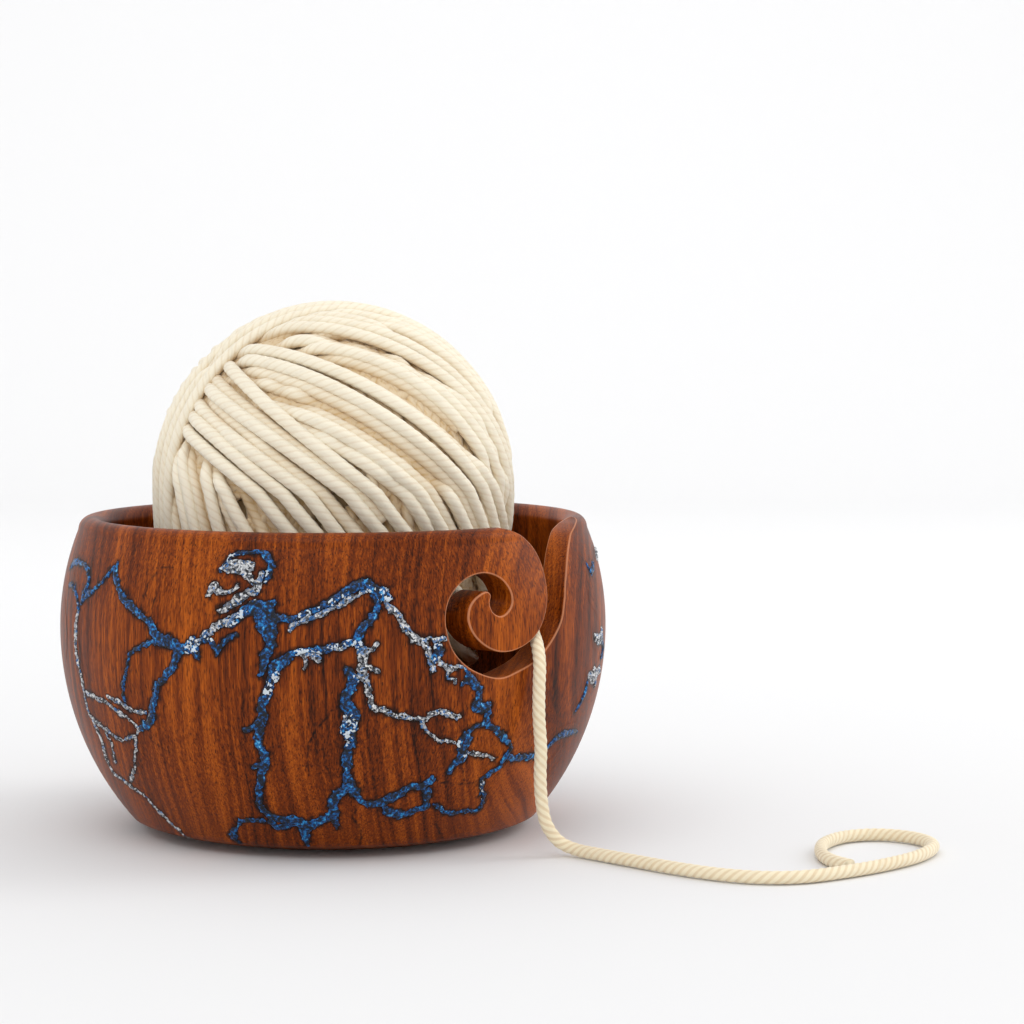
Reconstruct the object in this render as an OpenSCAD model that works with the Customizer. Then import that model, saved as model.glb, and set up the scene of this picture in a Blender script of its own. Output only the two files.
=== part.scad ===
// Turned hardwood yarn bowl with a spiral yarn guide, burnt-in vein channels
// filled with resin, a wound ball of yarn standing inside and its loose strand.
// Origin: centre of the foot, on the table. +Z up. The front is -Y.

/* [Bowl] */
// Widest diameter across the belly
bowl_diameter = 178; // [170:1:186]
// Height from the table to the crest of the rim
bowl_height = 102; // [98:1:106]
// Thickness of the rounded rim
rim_thickness = 8; // [7:0.5:9]
// Wood left under the bowl's hollow
floor_thickness = 14; // [12:1:16]

/* [Spiral guide] */
// Direction the guide is cut in, turned from the front toward the right
guide_angle = 50; // [48:1:52]

/* [Resin veins] */
// Depth of the channels the resin fills
vein_depth = 2; // [1.5:0.5:3]
// Every vein's width is multiplied by this
vein_width = 1; // [0.8:0.1:1.1]

/* [Yarn] */
// Widest diameter of the wound ball
ball_diameter = 119; // [112:1:122]
// Height of the ball's top above the table
ball_top = 172; // [168:1:178]
// Thickness of the strand
yarn_diameter = 4; // [3:0.5:4]

/* [Display] */
// Sub-part to build

/* [Hidden] */

$fn = 96;
belly_z = 66;            // height of the widest ring
belly_r = bowl_diameter / 2;
lower_arc = 95;          // radius of the outline below the belly
upper_arc = 86;          // radius of the outline above the belly
foot_r = 49;             // radius of the flat foot
heel_z = 4.5;            // height where the wall turns in under the bowl
ring_z = 2.4;            // height that the outline's rings are counted from
rim_r = rim_thickness / 2;
rim_z = bowl_height - rim_r;
hollow_r = belly_r - 10; // widest radius inside
hollow_power = 2.8;      // squareness of the hollow's lower half
outer_steps = 22;
inner_steps = 14;
reach = 120;             // how far cutting prisms run past the wall

ball_z = 112;            // height of the ball's widest ring
ball_bottom = floor_thickness + 0.4;
core_r = 44;             // inner core of the ball
ball_gap = 0.4;          // running gap between core and windings
heel_angle = 64;         // where the windings stop and the core's heel shows
bearing = 3;             // half the height of the straight ring the windings turn on

// Outline -----------------------------------------------------------------

function out_r(z) = z < belly_z
    ? belly_r - lower_arc + sqrt(pow(lower_arc, 2) - pow(belly_z - z, 2))
    : belly_r - upper_arc + sqrt(pow(upper_arc, 2) - pow(z - belly_z, 2));

rim_out = out_r(rim_z);
rim_mid = rim_out - rim_r;
rim_in = rim_out - 2 * rim_r;

function wall_points(inset) = [
    for (i = [0:outer_steps])
        let (z = max(heel_z, ring_z + (rim_z - ring_z) * i / outer_steps))
        [out_r(z) - inset, z]];

function foot_points() = [
    [foot_r, 0], [foot_r + 6, 1.2], [foot_r + 11.2, 2.4], [out_r(heel_z) - 2.4, 3.5]];

function rim_points() = [
    for (i = [1:5]) [rim_mid + rim_r * cos(30 * i), rim_z + rim_r * sin(30 * i)]];

function hollow_points() = concat(
    [for (i = [0:4]) let (t = i / 4)
        [rim_in + (hollow_r - rim_in) * sin(90 * t), rim_z + (belly_z - rim_z) * t]],
    [for (i = [1:inner_steps - 1]) let (a = 90 * i / inner_steps)
        [hollow_r * pow(cos(a), 2 / hollow_power),
         i == inner_steps - 1 ? floor_thickness
             : belly_z - (belly_z - floor_thickness) * pow(sin(a), 2 / hollow_power)]],
    [[0, floor_thickness]]);

module bowl_blank() {
    rotate_extrude() polygon(concat([[0, 0]], foot_points(), wall_points(0),
                                    rim_points(), hollow_points()));
}

module outside() {
    rotate_extrude() polygon(concat([[0, 0]], foot_points(), wall_points(0),
                                    [[0, rim_z]]));
}

module below_veins() {
    rotate_extrude() polygon(concat([[0, -1]], [[out_r(0) - vein_depth, -1]],
                                    wall_points(vein_depth), [[0, rim_z]]));
}

// Spiral guide --------------------------------------------------------------

// Points along the guide's edge, sideways and up, seen square to the cut:
// down the hook's outside, round its curl to the tip, round the end of the
// groove, back under the hook and up the far side to the rim.
guide_edge = [
    [-16, 103], [-6.5, 101], [0, 97], [3, 91.5], [3.8, 84.5], [2.8, 78], [-0.8, 71.5],
    [-5.6, 67.5], [-11.5, 65.2], [-17.2, 64.7], [-22.4, 66.2], [-27, 69.8],
    [-29.2, 74.4], [-28.6, 78.6], [-26, 81.7], [-22, 83.5], [-20.4, 82.3],
    [-21.2, 79.8], [-20.4, 77.2], [-17.9, 75.8], [-15, 76.8], [-12.8, 79.5],
    [-12.9, 83.2], [-15.8, 87], [-21, 88.9], [-27, 87.9], [-32, 84.6],
    [-35.3, 79.7], [-36.2, 73.5], [-34.2, 66.2], [-28.4, 60.4], [-19, 57],
    [-11.2, 58.4], [-1.6, 62.3], [8.5, 71], [12.1, 78], [14.4, 84], [19.3, 92],
    [25.5, 97.6], [32, 100.2], [39.3, 101.8]];

// Rounded curve through the points, each stretch split once at its middle.
function at(p, i) = p[max(0, min(len(p) - 1, i))];
function rounded(p) = [
    for (i = [0:len(p) - 2]) for (h = [0, 1])
        h == 0 ? p[i]
               : (9 * (at(p, i) + at(p, i + 1)) - at(p, i - 1) - at(p, i + 2)) / 16,
    p[len(p) - 1]];

module guide_cut() {
    rotate([0, 0, guide_angle - 90]) translate([30, 0, 0])
        rotate([90, 0, 90]) linear_extrude(height = reach)
            polygon(concat([[-16, 112]], rounded(guide_edge), [[46, 105], [46, 112]]));
}

// Resin veins ---------------------------------------------------------------

// A vein is a list of stations: [degrees from the front toward the right,
// height, width]. Its outline is offset to both sides of the line through
// the stations, in a plane square to the casting's own direction.
function flat(v, face) = [
    for (s = v) [out_r(s[1]) * sin(s[0] - face), s[1], s[2] * vein_width / 2]];
function heading(p, i) =
    let (a = at(p, i - 1), b = at(p, i + 1), d = [b[0] - a[0], b[1] - a[1]])
    d / norm(d);
function side(p, k) = [
    for (i = [0:len(p) - 1]) let (h = heading(p, i))
        [p[i][0] - k * p[i][2] * h[1], p[i][1] + k * p[i][2] * h[0]]];
function reversed(p) = [for (i = [len(p) - 1:-1:0]) p[i]];

module vein_prism(veins, face) {
    rotate([0, 0, face - 90]) translate([30, 0, 0]) rotate([90, 0, 90])
        linear_extrude(height = reach)
            for (v = veins) let (p = flat(v, face))
                polygon(concat(side(p, 1), reversed(side(p, -1))));
}

module casting(veins, face) {
    intersection() {
        vein_prism(veins, face);
        difference() { outside(); below_veins(); }
    }
}

face_left = -50;
blue_left = [
    [[-72, 85, 2], [-66, 89, 2], [-60, 88, 2], [-58, 83, 2], [-60, 78, 2.5]],
    [[-70, 82, 2], [-65, 80, 2.2], [-61, 74, 2.2], [-62, 66, 2], [-61, 56, 2]],
    [[-48, 91, 2], [-54, 83, 2], [-61, 76, 2.5]],
    [[-48, 90.5, 2.2], [-46, 84, 2.6], [-41, 78, 2.8], [-36, 75, 2.6], [-33, 69.5, 3.4],
     [-26.5, 67, 2.8]],
    [[-33, 69.5, 2], [-39, 66, 2], [-43, 57, 2], [-44, 50, 2]],
    [[-28.5, 68, 3.4], [-30, 60, 3], [-34, 54, 2.6], [-36, 47, 2.8], [-40, 41, 2.4]]];
silver_left = [
    [[-60, 49, 2], [-50, 46, 2], [-42.5, 40, 2]],
    [[-60, 48, 2], [-58, 35, 2], [-58, 24, 2], [-52, 20, 2.2], [-47, 13, 2], [-43, 7, 2]],
    [[-43, 39, 2], [-44, 32, 2], [-51, 21, 2]]];

face_centre = -4;
blue_centre = [
    [[-24, 69, 2.6], [-19, 73, 3], [-14, 79, 4], [-9, 78, 5], [-2, 79, 3], [4, 83, 3],
     [9, 87, 3.4], [13, 84, 3.6], [11, 77, 2.8], [8.5, 71, 2.8]],
    [[-10, 79, 5], [-9, 72, 4], [-10.5, 63, 2.6]],
    [[8.5, 71.5, 2.4], [1, 67.5, 3], [-6, 65, 3.4], [-9, 57, 3.2], [-11, 48, 2.6],
     [-12, 36, 2.6], [-13, 24, 2.4], [-13, 15, 2.6], [-4, 12, 3.6], [3, 15.5, 3.2],
     [6, 25, 3.4]],
    [[7, 62, 2.4], [6, 50, 4.2], [6, 42, 4], [6, 32, 3], [7, 22, 3], [14, 19.5, 3],
     [20, 24, 2.4], [26, 26, 2.4]],
    [[13, 20, 2.6], [18, 15, 2.6], [24.5, 17, 2.4], [24.5, 24, 2.4]]];
silver_curl = [
    [[-18, 82, 2.4], [-14, 85, 2.6], [-11, 90, 2.4], [-11, 95.5, 2.2], [-17, 95.5, 2.2],
     [-19, 91, 2.6]]];

face_mid = 17;
silver_mid = [
    [[9.5, 67, 2.4], [9.5, 60, 2.4], [11, 50.5, 2], [18, 46.5, 2], [24, 47.5, 2],
     [29.5, 46, 2]],
    [[15.4, 82.5, 2], [19, 71, 2.4], [22.5, 63, 2.2], [28.5, 61.5, 2]]];

face_right = 44;
blue_right = [
    [[30.6, 60, 2], [33, 53, 2.6], [34, 47, 2.8], [38, 41, 2.4], [43.5, 33, 2.4],
     [54, 30, 2.6], [60, 34, 2.2], [70, 35, 2.2]],
    [[34, 44, 2], [31.5, 37, 3], [31, 31, 2.6], [29.5, 28.4, 2]],
    [[43, 31.5, 2.4], [40, 25, 2], [40.5, 14, 2], [33, 13.5, 2], [28.5, 16, 2]]];
silver_side = [
    [[70, 64, 2.4], [76, 62, 3], [82, 66, 2.6]],
    [[84, 88, 2], [90, 90, 2.2], [97, 86, 2]]];

face_back = 150;
blue_back = [
    [[112, 88, 2], [118, 80, 3], [128, 76, 3.4], [140, 80, 3], [152, 74, 3.6],
     [166, 78, 3], [180, 70, 2.4]],
    [[128, 76, 3], [126, 64, 2.8], [130, 50, 3], [126, 36, 2.6], [132, 22, 2.6]],
    [[152, 74, 3], [156, 60, 3.2], [150, 46, 2.8], [158, 32, 2.8], [154, 16, 2.4]],
    [[156, 60, 2.4], [168, 54, 2.4], [176, 44, 2.2]]];

face_far = -128;
silver_back = [
    [[-98, 86, 2], [-106, 78, 2.6], [-116, 80, 2.4], [-128, 72, 3], [-142, 76, 2.4],
     [-158, 68, 2.2]],
    [[-116, 80, 2.4], [-118, 66, 2.4], [-112, 52, 2.4], [-116, 38, 2.2]],
    [[-128, 72, 2.6], [-134, 58, 2.6], [-130, 42, 2.4], [-138, 26, 2.4], [-134, 14, 2.2]]];

module all_channels() {
    vein_channel(blue_left, face_left);
    vein_channel(silver_left, face_left);
    vein_channel(blue_centre, face_centre);
    vein_channel(silver_curl, face_centre);
    vein_channel(silver_mid, face_mid);
    vein_channel(blue_right, face_right);
    vein_channel(silver_side, 84);
    vein_channel(blue_back, face_back);
    vein_channel(silver_back, face_far);
}

module vein_channel(veins, face) {
    difference() { vein_prism(veins, face); below_veins(); }
}

module bowl() color("#8a4a1e") difference() {
    bowl_blank();
    guide_cut();
    all_channels();
}

module blue_vein_left() color("#15488f") casting(blue_left, face_left);
module silver_vein_left() color("#b9bdc4") casting(silver_left, face_left);
module blue_vein_centre() color("#15488f") casting(blue_centre, face_centre);
module silver_vein_centre() color("#b9bdc4") {
    casting(silver_mid, face_mid);
    casting(silver_curl, face_centre);
}
module blue_vein_right() color("#15488f") casting(blue_right, face_right);
module silver_vein_right() color("#b9bdc4") casting(silver_side, 84);
module blue_vein_back() color("#15488f") casting(blue_back, face_back);
module silver_vein_back() color("#b9bdc4") casting(silver_back, face_far);

// Ball of yarn ---------------------------------------------------------------

// The ball's outline is one ellipse above its widest ring and a longer one below.
function ball_point(r, up, down, a) =
    [r * cos(a), ball_z + (a > 0 ? up : down) * sin(a)];
function ball_arc(r, up, down, from, to, n) = [
    for (i = [0:n]) ball_point(r, up, down, from + (to - from) * i / n)];

ball_r = ball_diameter / 2;
ball_up = ball_top - ball_z;
ball_down = ball_z - ball_bottom;

// The core's outline, or the windings' inside a gap further out: an egg with a
// straight ring round its widest height.
function core_arc(gap) = concat(
    [for (p = ball_arc(core_r + gap, 1, ball_down - 19 + gap, -heel_angle, 0, 9))
        p - [0, bearing]],
    [for (p = ball_arc(core_r + gap, core_r - bearing + gap, 1, 0, 90, 12))
        p + [0, bearing]]);

module yarn_ball_core() color("#e2d6bd") rotate_extrude() polygon(concat(
    [[0, ball_bottom]],
    [for (i = [1:5]) ball_point(ball_r, ball_up, ball_down,
                                -90 + (90 - heel_angle) * i / 5) - [ball_gap, 0]],
    core_arc(0)));

module yarn_ball_windings() color("#f0e6d0") rotate_extrude() polygon(concat(
    ball_arc(ball_r, ball_up, ball_down, -heel_angle + 1, 90, 30),
    reversed(core_arc(ball_gap))));

// Loose strand -----------------------------------------------------------------

// Route of the strand's centre: off the ball's side, out through the bottom of
// the guide, down outside the bowl and over the table to a loose loop.
strand_route = [
    [58.8, 10, 82], [62, -8, 81], [63.5, -24, 78.5], [63.4, -38, 75.5], [63.6, -47, 73],
    [65, -54, 68.8], [66.2, -59.6, 65.2], [66.8, -63.4, 60], [66.6, -63.8, 53],
    [66.6, -63, 44], [67.2, -62, 34], [67, -61, 26], [67.4, -60.5, 18], [68.8, -60, 10.6],
    [72.5, -59.8, 5], [78, -61.5, 2.5], [85, -68, 2.2], [96, -79, 2.2], [108, -90.5, 2.2],
    [120, -99.5, 2.2], [132, -104, 2.2], [144, -103, 2.2], [157, -95.5, 2.2],
    [171, -84, 2.2], [183, -70, 2.2], [189.5, -54, 2.2], [186, -41, 2.2], [175.5, -34.5, 2.2],
    [164, -38, 2.2], [156, -50, 2.2], [153.5, -65, 2.2], [155, -77, 2.2], [160, -86, 2.2]];

strand_sides = 8;
function weave(p, n) = [
    for (i = [0:len(p) - 2]) for (h = [0:n - 1])
        let (t = h / n, a = at(p, i - 1), b = p[i], c = p[i + 1], d = at(p, i + 2))
        ((2 * b) + (c - a) * t + (2 * a - 5 * b + 4 * c - d) * pow(t, 2)
         + (3 * b - a - 3 * c + d) * pow(t, 3)) / 2,
    p[len(p) - 1]];
function ring(c, along) =
    let (s = cross(along, abs(along[2]) > 0.9 * norm(along) ? [1, 0, 0] : [0, 0, 1]),
         u = s / norm(s), w = cross(u, along) / norm(along))
    [for (k = [0:strand_sides - 1]) let (a = 360 * (k + 0.5) / strand_sides)
        c + yarn_diameter / 2 * (cos(a) * u + sin(a) * w)];

module tube(route) {
    p = weave(route, 2);
    n = len(p);
    points = [for (i = [0:n - 1]) each ring(p[i], at(p, i + 1) - at(p, i - 1))];
    sides = [for (i = [0:n - 2]) for (k = [0:strand_sides - 1])
        let (j = (k + 1) % strand_sides, a = i * strand_sides, b = a + strand_sides)
        each [[a + k, a + j, b + j], [a + k, b + j, b + k]]];
    ends = [[for (k = [strand_sides - 1:-1:0]) k],
            [for (k = [0:strand_sides - 1]) (n - 1) * strand_sides + k]];
    polyhedron(points = points, faces = concat(sides, ends));
}

module working_strand() color("#f0e6d0") tube(strand_route);

bowl();
blue_vein_left();
silver_vein_left();
blue_vein_centre();
silver_vein_centre();
blue_vein_right();
silver_vein_right();
blue_vein_back();
silver_vein_back();
yarn_ball_core();
yarn_ball_windings();
working_strand();
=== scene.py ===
import math

import bmesh
import bpy
import numpy as np
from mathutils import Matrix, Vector
from mathutils.geometry import delaunay_2d_cdt


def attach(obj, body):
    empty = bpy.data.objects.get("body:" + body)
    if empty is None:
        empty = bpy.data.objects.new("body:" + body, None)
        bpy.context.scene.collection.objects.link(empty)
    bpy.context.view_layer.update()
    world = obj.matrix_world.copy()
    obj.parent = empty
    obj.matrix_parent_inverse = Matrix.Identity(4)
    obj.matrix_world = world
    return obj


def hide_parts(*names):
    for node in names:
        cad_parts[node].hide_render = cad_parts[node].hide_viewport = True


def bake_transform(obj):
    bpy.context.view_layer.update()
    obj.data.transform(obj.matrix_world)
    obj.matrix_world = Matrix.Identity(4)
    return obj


# A turned hardwood yarn bowl with a spiral guide and resin-filled veins, the ball
# of yarn in it and the loose strand. Metres in the scene, millimetres in the
# dictionaries; the front of the bowl faces -Y.

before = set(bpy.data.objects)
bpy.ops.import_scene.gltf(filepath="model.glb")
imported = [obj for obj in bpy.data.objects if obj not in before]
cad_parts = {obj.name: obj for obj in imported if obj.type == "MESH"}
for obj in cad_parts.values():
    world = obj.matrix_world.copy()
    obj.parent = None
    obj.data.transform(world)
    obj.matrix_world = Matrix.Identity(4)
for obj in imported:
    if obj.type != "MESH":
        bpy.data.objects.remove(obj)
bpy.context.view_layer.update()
mm = 0.001
scene = bpy.context.scene

# camera, floor, light

camera = {"place": (58.3, -956, 171.3), "tiltDown": 4.11, "lens": 102.9}
cameraData = bpy.data.cameras.new("camera")
cameraData.lens = camera["lens"]
cameraData.sensor_width = 36
cameraData.clip_start = 0.01
cameraObject = bpy.data.objects.new("camera", cameraData)
cameraObject.location = [v * mm for v in camera["place"]]
cameraObject.rotation_euler = (math.radians(90 - camera["tiltDown"]), 0, 0)
scene.collection.objects.link(cameraObject)
scene.camera = cameraObject


# sRGB hex to the linear numbers Blender works in
def toLinear(hexColour):
    c = [int(hexColour[i:i + 2], 16) / 255 for i in (1, 3, 5)]
    return tuple(v / 12.92 if v < 0.04045 else ((v + 0.055) / 1.055) ** 2.4 for v in c) + (1,)


# one node: settings are its properties, inputs its sockets by name or number, each a value or a
# socket to link
def addNode(tree, kind, inputs=None, **settings):
    made = tree.nodes.new("ShaderNode" + kind)
    for key, value in settings.items():
        setattr(made, key, value)
    for key, value in (inputs or {}).items():
        socket = made.inputs[key]
        if isinstance(value, bpy.types.NodeSocket):
            tree.links.new(value, socket)
        elif isinstance(value, bpy.types.Node):
            tree.links.new(value.outputs[0], socket)
        else:
            socket.default_value = value
    return made


# a new node material: the material, its node tree and its main shader
def newMaterial(name):
    m = bpy.data.materials.new(name)
    m.use_nodes = True
    tree = m.node_tree
    return m, tree, tree.nodes["Principled BSDF"]


def maths(tree, what, a, b=0.0, c=0.0):
    return addNode(tree, "Math", {0: a, 1: b, 2: c}, operation=what).outputs[0]


# the tone plus a noise's swing about one half, times its weight
def swing(tree, noise, weight, tone):
    return maths(tree, "MULTIPLY_ADD", maths(tree, "SUBTRACT", noise, 0.5), weight, tone)


# square root of the sum of the two squares
def hypotenuse(tree, a, b):
    return maths(tree, "SQRT", maths(tree, "ADD", maths(tree, "POWER", a, 2.0),
                                     maths(tree, "POWER", b, 2.0)))


# a value's place between low and high, carried over to the range from first to last
def mapped(tree, value, low, high, first, last):
    return addNode(tree, "MapRange", {0: value, 1: low, 2: high, 3: first, 4: last}).outputs[0]


def attributeOf(tree, name):
    return addNode(tree, "Attribute", attribute_name=name).outputs["Fac"]


# stops are (place, hex)
def colourRamp(tree, factor, stops):
    ramp = addNode(tree, "ValToRGB", {0: factor})
    while len(ramp.color_ramp.elements) < len(stops):
        ramp.color_ramp.elements.new(0.5)
    for element, (place, colour) in zip(ramp.color_ramp.elements, stops):
        element.position = place
        element.color = toLinear(colour)
    return ramp.outputs[0]


# colour a where the factor is 0, b where it is 1
def blendColour(tree, factor, a, b):
    return addNode(tree, "Mix", {0: factor, 6: a, 7: b}, data_type="RGBA").outputs[2]


def noiseOf(tree, vector, scale, detail=3.0, rough=0.5, distortion=0.0):
    return addNode(tree, "TexNoise", {"Vector": vector, "Scale": scale, "Detail": detail,
                                      "Roughness": rough, "Distortion": distortion}).outputs[0]


def stretched(tree, vector, scale, place=(0, 0, 0)):
    return addNode(tree, "Mapping", {"Vector": vector, "Scale": scale, "Location": place}).outputs[0]


# the object's own coordinates in millimetres, shifted
def placeInMm(tree, shift=(0, 0, 0)):
    return stretched(tree, addNode(tree, "TexCoord").outputs["Object"], (1000, 1000, 1000), shift)


# links a colour and a bump into the shader, and sets its numbers by the names of their sockets
def dress(tree, shader, colour, height, strength, distance, numbers):
    tree.links.new(colour, shader.inputs["Base Color"])
    bump = addNode(tree, "Bump", {"Strength": strength, "Distance": distance, "Height": height})
    tree.links.new(bump.outputs[0], shader.inputs["Normal"])
    for name, number in numbers.items():
        shader.inputs[name].default_value = number


# a smooth mesh object: points in millimetres; faces a list of arrays, each with one face per row
def meshObject(name, points, faces, material):
    mesh = bpy.data.meshes.new(name)
    rows = []
    for block in faces:
        rows.extend(np.asarray(block).tolist())
    mesh.from_pydata((np.asarray(points) * mm).tolist(), [], rows)
    mesh.validate()
    mesh.polygons.foreach_set("use_smooth", [True] * len(mesh.polygons))
    mesh.materials.append(material)
    mesh.update()
    made = bpy.data.objects.new(name, mesh)
    scene.collection.objects.link(made)
    return made


# one number for each point of the mesh
def setAttribute(made, name, values):
    layer = made.data.attributes.new(name, "FLOAT", "POINT")
    layer.data.foreach_set("value", np.asarray(values, np.float32))


# quads of the cells (i, j) of a grid that is numbered row by row and closes on itself sideways
def cellQuads(i, j, columns):
    k = (j + 1) % columns
    return np.stack([i * columns + j, i * columns + k, (i + 1) * columns + k, (i + 1) * columns + j], -1)


# paper: flat in front, a quarter circle behind, then upright
floor = {
    "colour": "#e8e8e8", "halfWidth": 3000, "back": 1500, "front": -2500, "curve": 700, "rise": 2600,
    "arcPoints": 24,
}
# white paper without a gloss: takes soft shadows and no reflections
floorMaterial, tree, shader = newMaterial("matte_white_paper")
shader.inputs["Base Color"].default_value = toLinear(floor["colour"])
shader.inputs["Roughness"].default_value = 0.9
turn = np.linspace(0, math.pi / 2, floor["arcPoints"])
arc = np.stack([floor["back"] + floor["curve"] * np.sin(turn), floor["curve"] * (1 - np.cos(turn))], 1)
sweep = np.concatenate([[[floor["front"], 0]], arc, [[floor["back"] + floor["curve"], floor["rise"]]]])
sweepPoints = np.array([[x, y, z] for x in (-floor["halfWidth"], floor["halfWidth"]) for y, z in sweep])
n = len(sweep)
i = np.arange(n - 1)
sweepFaces = [np.stack([i, i + n, i + n + 1, i + 1], 1)]
floorObject = meshObject("paper_sweep", sweepPoints, sweepFaces, floorMaterial)

world = bpy.data.worlds.new("soft_white_room")
world.use_nodes = True
world.node_tree.nodes["Background"].inputs[0].default_value = toLinear("#f8f8f9")
world.node_tree.nodes["Background"].inputs[1].default_value = 1.0
scene.world = world


# a rectangular lamp at a place, turned to shine at its aim; sizes in millimetres, power in watts
def softbox(name, place, aim, size, power):
    data = bpy.data.lights.new(name, "AREA")
    data.shape = "RECTANGLE"
    data.size, data.size_y = size[0] * mm, size[1] * mm
    data.energy = power
    made = bpy.data.objects.new(name, data)
    made.location = [v * mm for v in place]
    made.rotation_euler = (Vector(aim) - Vector(place)).to_track_quat("-Z", "Y").to_euler()
    scene.collection.objects.link(made)


softbox("soft_key", (-500, -1300, 2300), (0, 200, 60), (2200, 1800), 13.5)
softbox("soft_back", (100, 700, 1500), (100, 2200, 700), (2600, 1200), 7.5)
softbox("soft_right", (1500, 300, 900), (0, 0, 70), (700, 1300), 7)
scene.view_settings.view_transform = "Standard"
print("stage: camera, floor and light ready")

# small numpy tools


# vectors brought to length 1
def unit(v):
    v = np.asarray(v, float)
    return v / np.linalg.norm(v, axis=-1, keepdims=True)


# random numbers from -1 to 1 at whole-number points, eased between them by 3t^2 - 2t^3
def latticeNoise(x, y, seed, repeat=256):
    table = np.random.default_rng(seed).uniform(-1, 1, (repeat, repeat))
    ix, iy = np.floor(x).astype(int), np.floor(y).astype(int)
    fx, fy = x - ix, y - iy
    fx, fy = fx * fx * (3 - 2 * fx), fy * fy * (3 - 2 * fy)
    x0, x1, y0, y1 = ix % repeat, (ix + 1) % repeat, iy % repeat, (iy + 1) % repeat
    low = table[x0, y0] * (1 - fx) + table[x1, y0] * fx
    high = table[x0, y1] * (1 - fx) + table[x1, y1] * fx
    return low * (1 - fy) + high * fy


# Catmull-Rom curve through the points: each stretch a cubic whose slope at a point is half the
# step between its neighbours
def smoothRoute(points, steps):
    p = np.asarray(points, float)
    q = np.concatenate([p[:1], p, p[-1:]])
    t = (np.arange(steps) / steps)[None, :, None]
    a, b, c, d = (q[k:len(q) - 3 + k, None, :] for k in range(4))
    body = (2 * b + (c - a) * t + (2 * a - 5 * b + 4 * c - d) * t ** 2
            + (3 * b - a - 3 * c + d) * t ** 3) / 2
    return np.concatenate([body.reshape(-1, p.shape[1]), p[-1:]])


# the same route with its points spaced evenly, step apart
def evenly(points, step):
    run = np.concatenate([[0], np.cumsum(np.linalg.norm(np.diff(points, axis=0), axis=1))])
    at = np.linspace(0, run[-1], max(2, int(round(run[-1] / step)) + 1))
    return np.stack([np.interp(at, run, points[:, k]) for k in range(points.shape[1])], 1), at


# yarn

# Ball: bundles of turns side by side, each bundle at its own slant, laid from the outermost inward.
ball = {
    "centre": 112.0, "radius": 59.5, "up": 60.0, "down": 97.6,
    "outermost": [((0.33, -0.93, -0.08), 5)],     # what the last bundle circles, and its turns
    # each: the pole where its bundles cross, bundles, turns in one, slant of the first
    "windings": [((-0.78, -0.2, 0.6), 7, 8, 0.1), ((-0.2, 0.75, 0.6), 6, 10, 0.4),
                 ((0.8, 0.5, 0.3), 6, 10, 0.2)],
    "spacing": 3.75, "sink": 1.9,                 # between turns, and how far one dives under another
    "deepest": 2.0,                               # the most turns that one dives under
    "fineAbove": 76.0, "underAbove": 50.0,        # heights where the detail thins out
    "samples": 620, "shortest": 12,               # points on a turn, and the fewest in a stretch kept
    "cell": 0.019, "cells": 107,                  # the maps of directions: step, and steps on a side
    # the layer below: its turns, the pole they cross near, and how far they tilt off it
    "underTurns": 46, "underAxis": (0.45, 0.8, 0.35), "underTilt": 0.08,
}
# firmly plied yarn for the loose strand; the ball's is slack, so thicker and softer
yarn = {"radius": 2.0, "plies": 4, "plyCentre": 0.34, "plyRadius": 0.68, "turn": 11.0}
ballYarn = {"radius": 2.2, "plies": 4, "plyCentre": 0.16, "plyRadius": 0.86, "turn": 12.0}


# one plied strand carried along a path: each ring is four overlapping circles seen end on, and
# turns once in every spec["turn"] of length, so the mesh lines follow the plies. Returns points,
# quads, and for each point its depth in the crease, run and turn.
def yarnTube(path, up, along, spec, sides, squeeze=1.0):
    tangent = unit(np.gradient(path, axis=0))
    sideways = unit(np.cross(tangent, up))
    upward = np.cross(sideways, tangent)
    angle = (np.arange(sides) + 0.5) * 2 * math.pi / sides
    lobe = (angle + math.pi / spec["plies"]) % (2 * math.pi / spec["plies"]) - math.pi / spec["plies"]
    b, a = spec["plyCentre"], spec["plyRadius"]
    reach = b * np.cos(lobe) + np.sqrt(a * a - (b * np.sin(lobe)) ** 2)
    phase = angle[None, :] + (along / spec["turn"] * 2 * math.pi)[:, None]
    r = spec["radius"] * reach[None, :, None]
    points = path[:, None, :] + r * (np.cos(phase)[..., None] * sideways[:, None, :]
                                     + squeeze * np.sin(phase)[..., None] * upward[:, None, :])
    rings = len(path)
    ring, side = np.meshgrid(np.arange(rings - 1), np.arange(sides), indexing="ij")
    quads = cellQuads(ring, side, sides)[..., ::-1].reshape(-1, 4)
    depth = 1 - (reach - reach.min()) / (reach.max() - reach.min())
    crease = np.broadcast_to(depth[None, :], (rings, sides))
    run = np.broadcast_to(along[:, None], (rings, sides))
    turned = np.broadcast_to((angle / (2 * math.pi))[None, :], (rings, sides))
    ends = [np.arange(sides), (rings - 1) * sides + np.arange(sides)[::-1]]
    return points.reshape(-1, 3), quads, ends, crease.ravel(), run.ravel(), turned.ravel()


# several strands joined in one mesh, with the attributes that the wool reads
def yarnObject(name, tubes, material):
    points, faces, attributes, offset = [], [], [[], [], []], 0
    caps = []
    for p, quads, ends, *values in tubes:
        points.append(p)
        faces.append(quads + offset)
        caps.extend(e + offset for e in ends)
        for store, v in zip(attributes, values):
            store.append(v)
        offset += len(p)
    made = meshObject(name, np.concatenate(points), faces + [[c] for c in caps], material)
    for key, store in zip(("crease", "run", "turned"), attributes):
        setAttribute(made, key, np.concatenate(store))
    return made


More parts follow.
